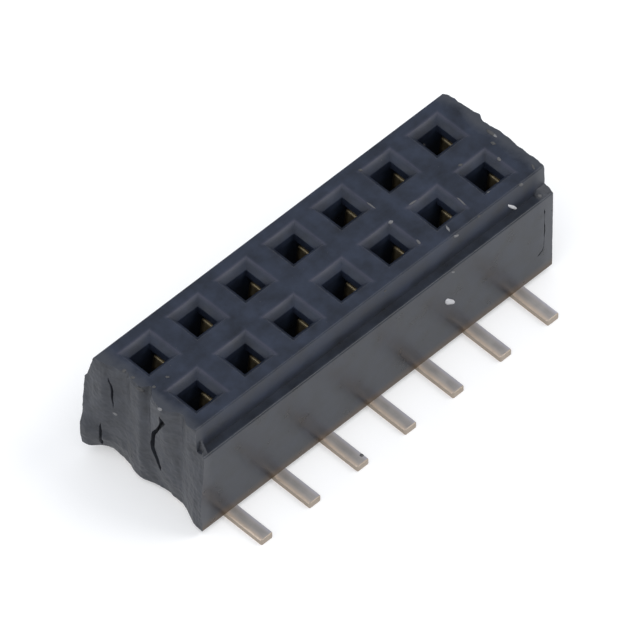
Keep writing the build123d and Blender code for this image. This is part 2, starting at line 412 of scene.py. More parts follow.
def body_stock():
    """The stepped moulding without its sockets, long enough to be broken at both ends."""
    housing, _, _, _ = settings()
    lower = HOUSING_HIGH.y
    upper = lower - housing.ledge_width
    bottom = HOUSING_LOW.z
    top = HOUSING_HIGH.z
    ledge = top - housing.upper_height
    outline = [
        (-lower, bottom), (lower, bottom), (lower, ledge), (upper, ledge),
        (upper, top), (-upper, top), (-upper, ledge), (-lower, ledge),
    ]
    sharp_corners = (3, 6)
    steps = 4
    spare = 0.5 * MM
    section = []
    for index, point in enumerate(round_corners(outline, housing.corner_radius, steps)):
        corner, step = divmod(index, steps + 1)
        if corner not in sharp_corners:
            section.append(point)
        elif step == 0:
            section.append(Vector(outline[corner]))
    bm = bmesh.new()
    ends = []
    for x in (HOUSING_LOW.x - spare, HOUSING_HIGH.x + spare):
        ends.append([bm.verts.new((x, y, z)) for y, z in section])
    band(bm, *ends)
    bm.faces.new(ends[0])
    bm.faces.new(reversed(ends[1]))
    return finished(bm, "body_stock")


def crushed_corner(side, start, height, face=-1):
    """Material pressed over one end of a ledge. At the front one's near end, a pit lies behind a lip."""
    housing, _, _, _ = settings()
    ledge = HOUSING_HIGH.z - housing.upper_height
    wall = HOUSING_LOW.y + housing.ledge_width
    foot = HOUSING_LOW.y + housing.corner_radius
    spare = 0.3 * MM
    outer = (HOUSING_HIGH.x if side > 0 else HOUSING_LOW.x) + side * spare
    pit_foot = wall - 0.6 * housing.ledge_width
    pit_floor = ledge - 0.02 * MM
    under = ledge - 0.2 * MM
    lipped = side < 0 and face < 0
    lumps_per_mm = 6.0
    along = round(abs(outer - start) / housing.grit)
    across = round((wall + 2 * housing.corner_radius - foot) / housing.grit)
    bm = bmesh.new()
    rows = []
    for i in range(along + 1):
        row = []
        for j in range(across + 1):
            x = start + (outer - start) * i / along
            y = foot + housing.grit * j
            share = min(1.0, (y - foot) / (wall - foot))
            lump = noise.fractal(Vector((x, y, 0)) / MM * lumps_per_mm, 0.8, 2.0, 3)
            lump *= housing.tear * (1 - 0.7 * share)
            rise = 1.0 if lipped else min(1.0, 0.1 + abs(x - start) / housing.crush_pit)
            z = ledge + rise * (share * height + max(lump, -0.4 * share * height))
            behind = abs(x - start) - housing.crush_lip
            if lipped and 0 < behind < housing.crush_pit and y > pit_foot:
                z = pit_floor
            row.append(bm.verts.new((x, -face * y, z)))
        rows.append(row)
    return close_sheet(bm, rows, lambda place: (place.x, place.y, under), "crushed_corner")


def ribbon(path, widths):
    """Outline of a line of changing width, in its own plane."""
    left = []
    right = []
    for before, here, after, width in zip(path[:-2], path[1:-1], path[2:], widths[1:-1]):
        along = (after - before).normalized()
        beside = Vector((-along.y, along.x)) * (width / 2)
        left.append(here + beside)
        right.append(here - beside)
    return [path[0], *left, path[-1], *reversed(right)]


def prism(outline, inner, outer, name):
    """A closed solid between two places of one outline."""
    bm = bmesh.new()
    ends = [[bm.verts.new(place(point)) for point in outline] for place in (inner, outer)]
    band(bm, *ends)
    bm.faces.new(ends[0])
    bm.faces.new(list(reversed(ends[1])))
    return finished(bm, name)


def score_tool():
    """The shallow score in the front wall beside the far break, with a hook at its foot."""
    housing, _, _, _ = settings()
    lower_height = HOUSING_HIGH.z - HOUSING_LOW.z - housing.upper_height
    marks = [
        Vector((housing.far_break - inset * MM, HOUSING_LOW.z + share * lower_height))
        for inset, share in SCORE_PATH
    ]
    step_length = 0.12 * MM
    wander = 0.02 * MM
    path = []
    for low, high in zip(marks[:-1], marks[1:]):
        steps = max(1, round((high - low).length / step_length))
        path += [low.lerp(high, step / steps) for step in range(steps)]
    path.append(marks[-1])
    for point in path[1:-1]:
        point.x += wander * noise.noise(Vector((point.x, point.y, 0)) / MM * 5.0)
    widths = [
        housing.score_width * max(0.15, 0.55 + 0.9 * noise.noise(Vector((p.x, p.y, MM)) / MM * 4.0))
        for p in path
    ]
    deep = HOUSING_LOW.y + 0.06 * MM
    proud = HOUSING_LOW.y - 0.1 * MM
    return prism(
        ribbon(path, widths), lambda p: (p.x, deep, p.y), lambda p: (p.x, proud, p.y), "score_tool"
    )


def crack_tools(body):
    """The cracks of the near break, cut straight in where the camera's rays through them meet it."""
    housing, _, _, _ = settings()
    surface = surface_of([body])
    run_out = 0.4 * MM
    tools = []
    for name, marks in CRACKS.items():
        places = [seen_place(surface, column, row, name)[0] for column, row, _ in marks]
        path = [Vector((place.y, place.z)) for place in places]
        widths = [width * MM for _, _, width in marks]
        if widths[-1]:
            path.append(path[-1] + (path[-1] - path[-2]).normalized() * run_out)
            widths.append(widths[-1])
        outer = min(place.x for place in places) - 0.1 * MM
        deep = sum(place.x for place in places) / len(places) + housing.crack_depth
        tools.append(crack_tool(ribbon(path, widths), deep, outer))
    return tools


def crack_tool(outline, deep, outer):
    """One crack's tool, between two places along the strip."""
    return prism(outline, lambda p: (deep, p.x, p.y), lambda p: (outer, p.x, p.y), "crack_tool")


def surface_of(objects):
    """The surface of some pieces, to be met by rays."""
    corners = []
    faces = []
    for obj in objects:
        offset = len(corners)
        corners += [v.co.copy() for v in obj.data.vertices]
        faces += [tuple(i + offset for i in p.vertices) for p in obj.data.polygons]
    return BVHTree.FromPolygons(corners, faces)


def seen_place(surface, column, row, name):
    """The place on a surface that the photograph shows at a pixel, with the surface's normal there."""
    _, _, _, stage = settings()
    across = (column / PICTURE - 0.5) * stage.view_width
    up = (0.5 - row / PICTURE) * stage.view_width
    heading = (camera_turn() @ Vector((across, up, -camera_distance()))).normalized()
    hit, normal, _, _ = surface.ray_cast(camera_place(), heading)
    if hit is None:
        raise RuntimeError(f"no surface under the {name}")
    return hit, normal


def square_ring(bm, half_x, half_y, z):
    """A ring of vertices round a square with bevelled corners."""
    corner = 0.008 * MM
    outline = [(-half_x, -half_y), (half_x, -half_y), (half_x, half_y), (-half_x, half_y)]
    return [bm.verts.new((x, y, z)) for x, y in round_corners(outline, corner, 1)]


def loft_rings(bm, rings):
    """Skin between rings of equal length, with both ends closed."""
    for low, high in zip(rings[:-1], rings[1:]):
        band(bm, low, high)
    bm.faces.new(reversed(rings[0]))
    bm.faces.new(rings[-1])


def socket_core():
    """The space of one socket of the front row: room for the arms, throat and funnel."""
    housing, _, _, _ = settings()
    top = HOUSING_HIGH.z
    throat = housing.socket_width / 2
    funnel_foot = top - housing.lead_in_depth
    ceiling = funnel_foot - housing.throat_depth
    room = housing.room_length / 2
    below = HOUSING_LOW.z - 0.3 * MM
    ease = 0.005 * MM
    knee = 0.02 * MM
    slope = math.radians(45)
    last_slope = math.radians(9)
    lip = housing.lip_radius
    reach = throat + housing.lead_in_depth + lip * math.tan(slope / 2)
    sizes = [
        (room, throat + ease, below),
        (room, throat + ease, ceiling),
        (throat, throat, ceiling),
        (throat, throat, funnel_foot - knee),
        (throat + 0.3 * knee, throat + 0.3 * knee, funnel_foot),
    ]
    steps = 4
    for step in range(steps + 1):
        turn = slope + (last_slope - slope) * step / steps
        half = reach - lip * math.sin(turn)
        sizes.append((half, half, top - lip * (1 - math.cos(turn))))
    rise = 0.02 * MM
    half += rise / math.tan(last_slope)
    sizes.append((half, half, sizes[-1][2] + rise))
    bm = bmesh.new()
    loft_rings(bm, [square_ring(bm, *size) for size in sizes])
    return finished(bm, "socket_core")


def tail_groove():
    """The groove over one solder tail of the front row, from the room for the arms out past the wall."""
    housing, _, _, _ = settings()
    half = housing.groove_width / 2
    spare = 0.3 * MM
    near = -housing.socket_width / 2 + 0.05 * MM
    far = housing.row_pitch / 2 - HOUSING_HIGH.y - spare
    bm = bmesh.new()
    for vert in bmesh.ops.create_cube(bm, size=2.0)["verts"]:
        vert.co.x = housing.groove_offset + half * vert.co.x
        vert.co.y = near if vert.co.y > 0 else far
        vert.co.z = HOUSING_LOW.z + (housing.groove_depth if vert.co.z > 0 else -spare)
    return finished(bm, "tail_groove")


def link(tree, source, target):
    """Joins an output socket to an input socket."""
    tree.links.new(source, target)


def node_group(name, kind, inputs, outputs):
    """A node group with named inputs, each a kind with a default or None, and named outputs."""
    tree = bpy.data.node_groups.new(name, kind)
    for label, (socket_kind, default) in inputs.items():
        socket = tree.interface.new_socket(name=label, in_out="INPUT", socket_type=socket_kind)
        if default is not None:
            socket.default_value = default
    for label, socket_kind in outputs.items():
        tree.interface.new_socket(name=label, in_out="OUTPUT", socket_type=socket_kind)
    inside = tree.nodes.new("NodeGroupInput")
    outside = tree.nodes.new("NodeGroupOutput")
    return tree, inside.outputs, outside.inputs


def set_input(modifier, name, value):
    """Sets a Geometry Nodes modifier's input by the identifier of its socket."""
    for item in modifier.node_group.interface.items_tree:
        if item.item_type == "SOCKET" and item.in_out == "INPUT" and item.name == name:
            modifier[item.identifier] = value
            return
    raise RuntimeError(f"no input named {name}")


def put(tree, value, slot):
    """Gives an input a number or a socket."""
    if isinstance(value, bpy.types.NodeSocket):
        link(tree, value, slot)
    else:
        slot.default_value = value


def math_node(tree, operation, *values):
    """The result of a math node whose inputs are numbers or sockets."""
    node = tree.nodes.new("ShaderNodeMath")
    node.operation = operation
    for slot, value in zip(node.inputs, values):
        put(tree, value, slot)
    return node.outputs[0]


def share_node(tree, value, low, high, to=(0.0, 1.0), clamp=True, curve="LINEAR"):
    """How far a value has come from one number to another, as a number in the range that is asked for."""
    node = tree.nodes.new("ShaderNodeMapRange")
    node.clamp = clamp
    node.interpolation_type = curve
    for name, number in zip(("From Min", "From Max", "To Min", "To Max"), (low, high, *to)):
        node.inputs[name].default_value = number
    link(tree, value, node.inputs["Value"])
    return node.outputs["Result"]


def mix_node(tree, factor, first, second):
    """A mix of two colours, each a socket or three numbers."""
    node = tree.nodes.new("ShaderNodeMix")
    node.data_type = "RGBA"
    link(tree, factor, node.inputs["Factor"])
    for name, colour in (("A", first), ("B", second)):
        opaque = colour if isinstance(colour, bpy.types.NodeSocket) else (*colour, 1.0)
        put(tree, opaque, node.inputs[name])
    return node.outputs["Result"]


def axes_node(tree, vector):
    """The three axes of a vector."""
    node = tree.nodes.new("ShaderNodeSeparateXYZ")
    link(tree, vector, node.inputs["Vector"])
    return node.outputs["X"], node.outputs["Y"], node.outputs["Z"]


def bump_node(tree, shader, height, strength, depth):
    """Lets a shader take its relief from a height."""
    node = tree.nodes.new("ShaderNodeBump")
    node.inputs["Strength"].default_value = strength
    node.inputs["Distance"].default_value = depth
    link(tree, height, node.inputs["Height"])
    link(tree, node.outputs["Normal"], shader.inputs["Normal"])


def piece_place(tree):
    """The place on the piece, in metres."""
    return tree.nodes.new("ShaderNodeTexCoord").outputs["Object"]


def piece_normal(tree):
    """The axes of the piece's normal."""
    return axes_node(tree, tree.nodes.new("ShaderNodeTexCoord").outputs["Normal"])


def scaled(colour, share):
    """A colour made darker or lighter."""
    return [channel * share for channel in colour]


def new_material(name):
    """A material with an empty node tree, its Principled shader and its output."""
    material = bpy.data.materials.new(name)
    material.use_nodes = True
    tree = material.node_tree
    tree.nodes.clear()
    shader = tree.nodes.new("ShaderNodeBsdfPrincipled")
    out = tree.nodes.new("ShaderNodeOutputMaterial")
    link(tree, shader.outputs["BSDF"], out.inputs["Surface"])
    return material, tree, shader


def socket_grid_tree():
    """Geometry Nodes: a socket's space repeated along the front row, and turned round for the back row."""
    housing, _, _, _ = settings()
    inputs = {
        "Geometry": ("NodeSocketGeometry", None),
        "Columns": ("NodeSocketInt", housing.columns),
        "Pitch": ("NodeSocketFloat", housing.pitch),
        "Row pitch": ("NodeSocketFloat", housing.row_pitch),
        "Material": ("NodeSocketMaterial", None),
    }
    outputs = {"Geometry": "NodeSocketGeometry"}
    tree, given, result = node_group("socket_grid", "GeometryNodeTree", inputs, outputs)
    nodes = tree.nodes
    gaps = math_node(tree, "SUBTRACT", given["Columns"], 1.0)
    row_length = math_node(tree, "MULTIPLY", gaps, given["Pitch"])
    start = nodes.new("ShaderNodeCombineXYZ")
    link(tree, math_node(tree, "MULTIPLY", row_length, -0.5), start.inputs["X"])
    link(tree, math_node(tree, "MULTIPLY", given["Row pitch"], -0.5), start.inputs["Y"])
    step = nodes.new("ShaderNodeCombineXYZ")
    link(tree, given["Pitch"], step.inputs["X"])
    row = nodes.new("GeometryNodeMeshLine")
    row.mode = "OFFSET"
    link(tree, given["Columns"], row.inputs["Count"])
    link(tree, start.outputs[0], row.inputs["Start Location"])
    link(tree, step.outputs[0], row.inputs["Offset"])
    place = nodes.new("GeometryNodeInstanceOnPoints")
    link(tree, row.outputs["Mesh"], place.inputs["Points"])
    link(tree, given["Geometry"], place.inputs["Instance"])
    turned = nodes.new("GeometryNodeTransform")
    turned.inputs["Rotation"].default_value = (0.0, 0.0, math.pi)
    link(tree, place.outputs["Instances"], turned.inputs["Geometry"])
    both = nodes.new("GeometryNodeJoinGeometry")
    link(tree, place.outputs["Instances"], both.inputs["Geometry"])
    link(tree, turned.outputs["Geometry"], both.inputs["Geometry"])
    real = nodes.new("GeometryNodeRealizeInstances")
    link(tree, both.outputs["Geometry"], real.inputs["Geometry"])
    finish = nodes.new("GeometryNodeSetMaterial")
    link(tree, real.outputs["Geometry"], finish.inputs["Geometry"])
    link(tree, given["Material"], finish.inputs["Material"])
    link(tree, finish.outputs["Geometry"], result["Geometry"])
    return tree


def torn_relief(y, z, side):
    """Depth of the torn relief at a place on a broken end, in parts of the tear depth, from 0 to 1."""
    streak = noise.fractal(Vector((y * 2.6, z * 0.8, side * 7.0)), 1.0, 2.1, 4)
    crumb = noise.fractal(Vector((y * 7.0, z * 6.0, side * 3.0 + 5.0)), 0.9, 2.0, 3)
    return min(1.0, max(0.0, 0.5 + 0.5 * streak + 0.2 * crumb))


def crumbled_edge(y, below_top, side):
    """How far the break is set back where it meets the top face, at a distance below that face."""
    housing, _, _, _ = settings()
    if below_top > housing.crumble:
        return 0.0
    rough = noise.fractal(Vector((y * 2.4, side * 4.0, 3.0)), 0.9, 2.2, 3)
    share = 1 - max(0.0, below_top) / housing.crumble
    return housing.crumble * share * min(0.8, max(0.0, 0.25 + 0.7 * rough))


def break_tool(side, surface):
    """All beyond a broken end: the solid's own break, met by rays, with a torn relief about it."""
    housing, _, _, _ = settings()
    margin = 0.12 * MM
    reach = 1.0 * MM
    longest = 2.6 * MM
    low = Vector((0, HOUSING_LOW.y - margin, HOUSING_LOW.z - margin))
    high = Vector((0, HOUSING_HIGH.y + margin, HOUSING_HIGH.z + margin))
    across = round((high.y - low.y) / housing.grit)
    up = round((high.z - low.z) / housing.grit)
    outer = (HOUSING_HIGH.x if side > 0 else HOUSING_LOW.x) + side * reach
    heading = Vector((-side, 0, 0))
    cells = {
        (i, j): (low.y + (high.y - low.y) * i / across, low.z + (high.z - low.z) * j / up)
        for j in range(up + 1)
        for i in range(across + 1)
    }
    found = {}
    for cell, (y, z) in cells.items():
        hit, _, _, _ = surface.ray_cast(Vector((outer, y, z)), heading, longest)
        if hit is not None:
            found[cell] = hit.x
    spread(found, across, up)
    found = calmed(found, side)
    bm = bmesh.new()
    verts = {
        cell: bm.verts.new((torn_place(found[cell], y, z, side), y, z)) for cell, (y, z) in cells.items()
    }
    rows = [[verts[i, j] for i in range(across + 1)] for j in range(up + 1)]
    return close_sheet(bm, rows, lambda place: (outer, place.y, place.z), "break_tool")


def torn_place(x, y, z, side):
    """Where the torn surface of a broken end stands, inside the solids' box."""
    housing, _, _, _ = settings()
    deep = housing.tear * (torn_relief(y / MM, z / MM, side) - 0.5)
    crumbled = crumbled_edge(y / MM, HOUSING_HIGH.z - z, side)
    if side > 0:
        far_share = 0.4
        deep += far_share * crumbled
        deep -= housing.far_stand
    else:
        chip_slope = 0.7
        from_heel = math.dist((y, z), (HOUSING_HIGH.y, HOUSING_LOW.z))
        deep += crumbled
        deep += chip_slope * max(0, housing.chipped_heel - from_heel)
    skin = 0.02 * MM
    inside = skin * torn_relief(z / MM, y / MM, side)
    return min(max(x - side * deep, HOUSING_LOW.x + inside), HOUSING_HIGH.x - inside)


def calmed(found, side):
    """The break without the narrow cracks, which are cut later, and with its creases softened."""
    rounds = 5
    crack_step = 0.12 * MM
    for _ in range(rounds):
        closed = {}
        for cell, x in found.items():
            highest = max(neighbours(found, cell), key=lambda value: side * value)
            closed[cell] = highest if side * (highest - x) > crack_step else x
        found = closed
    for _ in range(rounds):
        softened = {}
        for cell, x in found.items():
            near = neighbours(found, cell)
            softened[cell] = (x + sum(near)) / (1 + len(near))
        found = softened
    return found


def neighbours(found, cell):
    """The values of the cells beside, over and under a cell."""
    i, j = cell
    return [found[near] for near in ((i + 1, j), (i - 1, j), (i, j + 1), (i, j - 1)) if near in found]


def spread(found, across, up):
    """Fills the places that no ray met from their nearest neighbours."""
    while len(found) < (across + 1) * (up + 1):
        grown = {}
        for i, j in found:
            for near in ((i + 1, j), (i - 1, j), (i, j + 1), (i, j - 1)):
                if near not in found and 0 <= near[0] <= across and 0 <= near[1] <= up:
                    grown[near] = found[i, j]
        found.update(grown)


def combine(obj, tool_mesh, material, operation="DIFFERENCE"):
    """Takes a tool's shape from an object, or adds it, and keeps the tool's material on the new faces."""
    tool_mesh.materials.clear()
    tool_mesh.materials.append(material)
    tool = link_mesh("cutting_tool", tool_mesh)
    modifier = obj.modifiers.new("combine", "BOOLEAN")
    modifier.operation = operation
    modifier.solver = "EXACT"
    modifier.material_mode = "TRANSFER"
    modifier.object = tool
    bake_modifiers(obj, obj.name)
    bpy.data.objects.remove(tool)


def clean_mesh(mesh):
    """Joins the corners that cuts left on top of each other, and drops the slivers between them."""
    bm = bmesh.new()
    bm.from_mesh(mesh)
    bmesh.ops.remove_doubles(bm, verts=bm.verts, dist=SAME_PLACE)
    bmesh.ops.dissolve_degenerate(bm, edges=bm.edges, dist=SAME_PLACE)
    wide = [face for face in bm.faces if len(face.verts) > 3]
    bmesh.ops.triangulate(bm, faces=wide, ngon_method="EAR_CLIP")
    seen = {}
    for face in bm.faces:
        seen.setdefault(frozenset(face.verts), []).append(face)
    doubled = [face for faces in seen.values() if len(faces) > 1 for face in faces]
    bmesh.ops.delete(bm, geom=doubled, context="FACES")
    bm.to_mesh(mesh)
    bm.free()


def make_housing():
    """The moulding: stock, sockets cut by the grid, then both ends broken."""
    housing, _, _, _ = settings()
    skin = moulded_plastic()
    torn = torn_plastic()
    body = link_mesh("housing_moulding", body_stock())
    body.data.materials.append(skin)
    for lump in (
        crushed_corner(-1, housing.near_crush, housing.near_crush_height),
        crushed_corner(1, housing.far_crush, housing.far_crush_height),
        crushed_corner(-1, housing.back_crush, housing.back_crush_height, face=1),
    ):
        combine(body, lump, torn, "UNION")
    tree = socket_grid_tree()
    for shape in (socket_core(), tail_groove()):
        grid = link_mesh("socket_grid", shape)
        modifier = grid.modifiers.new("socket grid", "NODES")
        modifier.node_group = tree
        set_input(modifier, "Columns", housing.columns)
        set_input(modifier, "Pitch", housing.pitch)
        set_input(modifier, "Row pitch", housing.row_pitch)
        set_input(modifier, "Material", skin)
        bake_modifiers(grid, "socket_grid")
        combine(body, grid.data, skin)
        bpy.data.objects.remove(grid)
    surface = surface_of([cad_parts["housing"]])
    for side in (-1, 1):
        combine(body, break_tool(side, surface), torn)
    for tool in (score_tool(), *crack_tools(body)):
        combine(body, tool, torn)
    clean_mesh(body.data)
    return body


def scuffed_ends(tree, x, blotch):
    """Mask of the patchy scuffs towards both breaks."""
    housing, _, _, _ = settings()
    middle = (housing.near_break + housing.far_break) / 2
    half_length = (housing.far_break - housing.near_break) / 2
    away = math_node(tree, "ABSOLUTE", math_node(tree, "SUBTRACT", x, middle))
    worn = share_node(
        tree, away, half_length - housing.worn_reach, half_length, to=(-0.6, 0.7), clamp=False
    )
    return math_node(tree, "ADD", worn, blotch)


def foot_bounce_mask(tree, z):
    """Mask of the painted warm bounce light at the foot of the long walls."""
    housing, _, _, _ = settings()
    _, facing, _ = piece_normal(tree)
    upright = share_node(tree, math_node(tree, "ABSOLUTE", facing), 0.6, 0.95)
    low = share_node(tree, z, housing.foot_bounce_height, 0.4 * housing.foot_bounce_height)
    return math_node(tree, "MULTIPLY", upright, low)


def lip_highlight_mask(tree, x, y, z, blotch):
    """Mask of the painted highlight on the two lips of each funnel that face the light."""
    housing, _, _, _ = settings()
    half_row = housing.row_pitch / 2
    beside = math_node(tree, "WRAP", x, housing.pitch / 2, -housing.pitch / 2)
    behind = math_node(tree, "WRAP", math_node(tree, "ADD", y, half_row), half_row, -half_row)
    mouth = housing.socket_width / 2 + housing.lead_in_depth + 0.01 * MM
    off_lip = math_node(tree, "SUBTRACT", math_node(tree, "MAXIMUM", beside, behind), mouth)
    # The painted highlight lies along the lip and fades out over its width.
    lip = share_node(tree, math_node(tree, "ABSOLUTE", off_lip), housing.lip_highlight_width, 0.0)
    widest = math_node(tree, "MAXIMUM", *[math_node(tree, "ABSOLUTE", value) for value in (beside, behind)])
    within = share_node(tree, widest, mouth + housing.lip_highlight_width, mouth)
    at_top = share_node(tree, z, HOUSING_HIGH.z - 0.12 * MM, HOUSING_HIGH.z - 0.06 * MM)
    patchy = math_node(tree, "MULTIPLY_ADD", blotch, 0.6, 0.6)
    for mask in (within, at_top, patchy):
        lip = math_node(tree, "MULTIPLY", lip, mask)
    return lip


def moulded_plastic():
    """Black glass-filled plastic as it comes from the mould."""
    housing, _, _, _ = settings()
    material, tree, shader = new_material("moulded_plastic")
    place = piece_place(tree)
    x, y, z = axes_node(tree, place)
    height, blotch = grain_node(tree, place, fine=24000.0, soft=1300.0)
    ledge = HOUSING_HIGH.z - housing.upper_height
    above = share_node(tree, z, ledge + 0.02 * MM, ledge + 0.30 * MM)
    # Below the ledge the plastic takes a greyer painted tint, standing for the neutral floor light on the
    # lower side walls.
    skin = tree.nodes.new("ShaderNodeVectorMath")
    skin.operation = "SCALE"
    link(tree, mix_node(tree, above, housing.painted_tint, housing.plastic), skin.inputs[0])
    link(tree, share_node(tree, blotch, 0.0, 1.0, to=(0.55, 1.55)), skin.inputs["Scale"])
    coat = skin.outputs["Vector"]
    coat = mix_node(tree, scuffed_ends(tree, x, blotch), coat, scaled(housing.torn, 1.3))
    # Painted warm bounce light at the foot of the long walls.
    coat = mix_node(tree, foot_bounce_mask(tree, z), coat, housing.foot_bounce_tint)
    # Painted highlight on the funnel lips that face the light.
    coat = mix_node(tree, lip_highlight_mask(tree, x, y, z, blotch), coat, housing.lip)
    link(tree, dusted(tree, place, coat), shader.inputs["Base Color"])
    dull = share_node(tree, above, 0.0, 1.0, to=(0.26, 0.38))
    link(tree, math_node(tree, "MULTIPLY_ADD", blotch, 0.10, dull), shader.inputs["Roughness"])
    bump_node(tree, shader, height, strength=0.35, depth=0.0016 * MM)
    shader.inputs["IOR"].default_value = 1.41
    return material


def torn_plastic():
    """The same plastic where it was broken: paler, dull and crumbly."""
    housing, _, _, _ = settings()
    material, tree, shader = new_material("torn_plastic")
    place = piece_place(tree)
    height, blotch = grain_node(tree, place, fine=12000.0, soft=2200.0)
    tone = mix_node(tree, blotch, scaled(housing.torn, 0.7), scaled(housing.torn, 1.4))
    link(tree, dusted(tree, place, tone), shader.inputs["Base Color"])
    shader.inputs["Roughness"].default_value = 0.5
    bump_node(tree, shader, height, strength=0.5, depth=0.006 * MM)
    shader.inputs["IOR"].default_value = 1.45
    return material


def grain_group():
    """Shader group: fine grain as a height, and soft blotches as a mask."""
    if "strip_grain" in bpy.data.node_groups:
        return bpy.data.node_groups["strip_grain"]
    inputs = {
        "Place": ("NodeSocketVector", None),
        "Scale": ("NodeSocketFloat", 9000.0),
        "Blotch scale": ("NodeSocketFloat", 900.0),
    }
    outputs = {"Height": "NodeSocketFloat", "Blotch": "NodeSocketFloat"}
    tree, given, result = node_group("strip_grain", "ShaderNodeTree", inputs, outputs)
    fine = tree.nodes.new("ShaderNodeTexNoise")
    fine.inputs["Detail"].default_value = 4.0
    link(tree, given["Place"], fine.inputs["Vector"])
    link(tree, given["Scale"], fine.inputs["Scale"])
    link(tree, fine.outputs["Fac"], result["Height"])
    soft = tree.nodes.new("ShaderNodeTexNoise")
    soft.inputs["Detail"].default_value = 5.0
    soft.inputs["Roughness"].default_value = 0.6
    link(tree, given["Place"], soft.inputs["Vector"])
    link(tree, given["Blotch scale"], soft.inputs["Scale"])
    link(tree, share_node(tree, soft.outputs["Fac"], 0.3, 0.7), result["Blotch"])
    return tree


def group_node(tree, group, inputs):
    """The outputs of a group whose inputs are numbers or sockets."""
    node = tree.nodes.new("ShaderNodeGroup")
    node.node_tree = group
    for name, value in inputs.items():
        put(tree, value, node.inputs[name])
    return node.outputs


def grain_node(tree, place, fine, soft):
    """The height of the grain and the mask of the blotches, for a scale of each."""
    outputs = group_node(tree, grain_group(), {"Place": place, "Scale": fine, "Blotch scale": soft})
    return outputs["Height"], outputs["Blotch"]


def dust_group():
    """Shader group: small pale specks as a mask, each in its own cell and of its own size."""
    if "strip_dust" in bpy.data.node_groups:
        return bpy.data.node_groups["strip_dust"]
    inputs = {
        "Place": ("NodeSocketVector", None),
        "Scale": ("NodeSocketFloat", 6000.0),
        "Share": ("NodeSocketFloat", 0.1),
        "Size": ("NodeSocketFloat", 0.2),
    }
    tree, given, result = node_group("strip_dust", "ShaderNodeTree", inputs, {"Mask": "NodeSocketFloat"})
    cells = tree.nodes.new("ShaderNodeTexVoronoi")
    link(tree, given["Place"], cells.inputs["Vector"])
    link(tree, given["Scale"], cells.inputs["Scale"])
    parts = tree.nodes.new("ShaderNodeSeparateColor")
    link(tree, cells.outputs["Color"], parts.inputs["Color"])
    chosen = math_node(tree, "LESS_THAN", parts.outputs["Red"], given["Share"])
    width = math_node(tree, "MULTIPLY", parts.outputs["Green"], given["Size"])
    near = math_node(tree, "LESS_THAN", cells.outputs["Distance"], width)
    link(tree, math_node(tree, "MULTIPLY", chosen, near), result["Mask"])
    return tree


def dusted(tree, place, colour):
    """A colour with pale dust specks over it."""
    _, _, dust, _ = settings()
    inputs = {
        "Place": place,
        "Scale": 1 / dust.spacing,
        "Share": dust.share,
        "Size": dust.speck / dust.spacing,
    }
    return mix_node(tree, group_node(tree, dust_group(), inputs)["Mask"], colour, dust.colour)


def gilt_arms(tree, y, z):
    """Thin gold with painted light: a glint on the front edge of each arm over painted shade on its face,
    darker still deeper in the socket.
    """
    housing, contacts, _, _ = settings()
    half_row = housing.row_pitch / 2
    across = math_node(tree, "WRAP", math_node(tree, "ADD", y, half_row), half_row, -half_row)
    # Painted glint on the front edge of each arm, over painted shade on the rest of its face.
    front = share_node(tree, across, 0.16 * MM, 0.05 * MM)
    front_glint = mix_node(tree, front, scaled(contacts.gold, 0.22), scaled(contacts.gold, 0.85))
    # Painted shade: the gold is darker below the shade line, deeper in the socket.
    socket_shade = share_node(tree, z, contacts.shade_line, contacts.shade_line + 0.15 * MM)
    return mix_node(tree, socket_shade, scaled(contacts.gold, 0.18), front_glint)


def tinned_tail(tree, x, y, blotch):
    """Dull tin with painted highlights along the top edges and towards the tip, and bare metal where the
    strip was sheared.
    """
    housing, contacts, _, _ = settings()
    tin = mix_node(tree, blotch, scaled(contacts.tin, 0.86), scaled(contacts.tin, 1.1))
    row_side = math_node(tree, "SIGN", y)
    beside = math_node(tree, "MULTIPLY_ADD", row_side, housing.groove_offset, x)
    beside = math_node(tree, "WRAP", beside, housing.pitch / 2, -housing.pitch / 2)
    # Painted highlight along both top edges of each tail, warm on the near side and cool on the far side,
    # with a fainter one towards the tip.
    edge = share_node(tree, math_node(tree, "ABSOLUTE", beside), 0.05 * MM, 0.20 * MM)
    reach = CAD_BOX[1].y
    out = math_node(tree, "ABSOLUTE", y)
    tip = share_node(tree, out, reach - 0.28 * MM, reach - 0.05 * MM)
    highlight_mask = math_node(tree, "MAXIMUM", edge, math_node(tree, "MULTIPLY", tip, 0.3))
    side = share_node(tree, beside, -0.20 * MM, 0.20 * MM)
    top = mix_node(tree, highlight_mask, tin, mix_node(tree, side, contacts.warm_edge_highlight, contacts.cool_edge_highlight))
    _, _, facing = piece_normal(tree)
    shear = share_node(tree, math_node(tree, "ABSOLUTE", facing), 0.45, 0.15)
    # The sheared colour is carried over the rounded top edge of the tip: painted shade that dims its
    # highlight.
    rim = share_node(tree, out, reach - 0.055 * MM, reach - 0.035 * MM)
    return mix_node(tree, math_node(tree, "MAXIMUM", shear, rim), top, contacts.sheared)


def plated_strip():
    """Copper alloy strip with dull tin on the tail and thin gold on the arms."""
    _, contacts, _, _ = settings()
    material, tree, shader = new_material("plated_strip")
    place = piece_place(tree)
    x, y, z = axes_node(tree, place)
    height, blotch = grain_node(tree, place, fine=14000.0, soft=2600.0)
    fade = 0.15 * MM
    line = share_node(
        tree, z, contacts.plating_line - fade, contacts.plating_line + fade, curve="SMOOTHSTEP"
    )
    plating = mix_node(tree, line, tinned_tail(tree, x, y, blotch), gilt_arms(tree, y, z))
    link(tree, plating, shader.inputs["Base Color"])
    shader.inputs["Metallic"].default_value = 1.0
    link(tree, share_node(tree, blotch, 0.0, 1.0, to=(0.50, 0.64)), shader.inputs["Roughness"])
    bump_node(tree, shader, height, strength=0.3, depth=0.002 * MM)
    return material


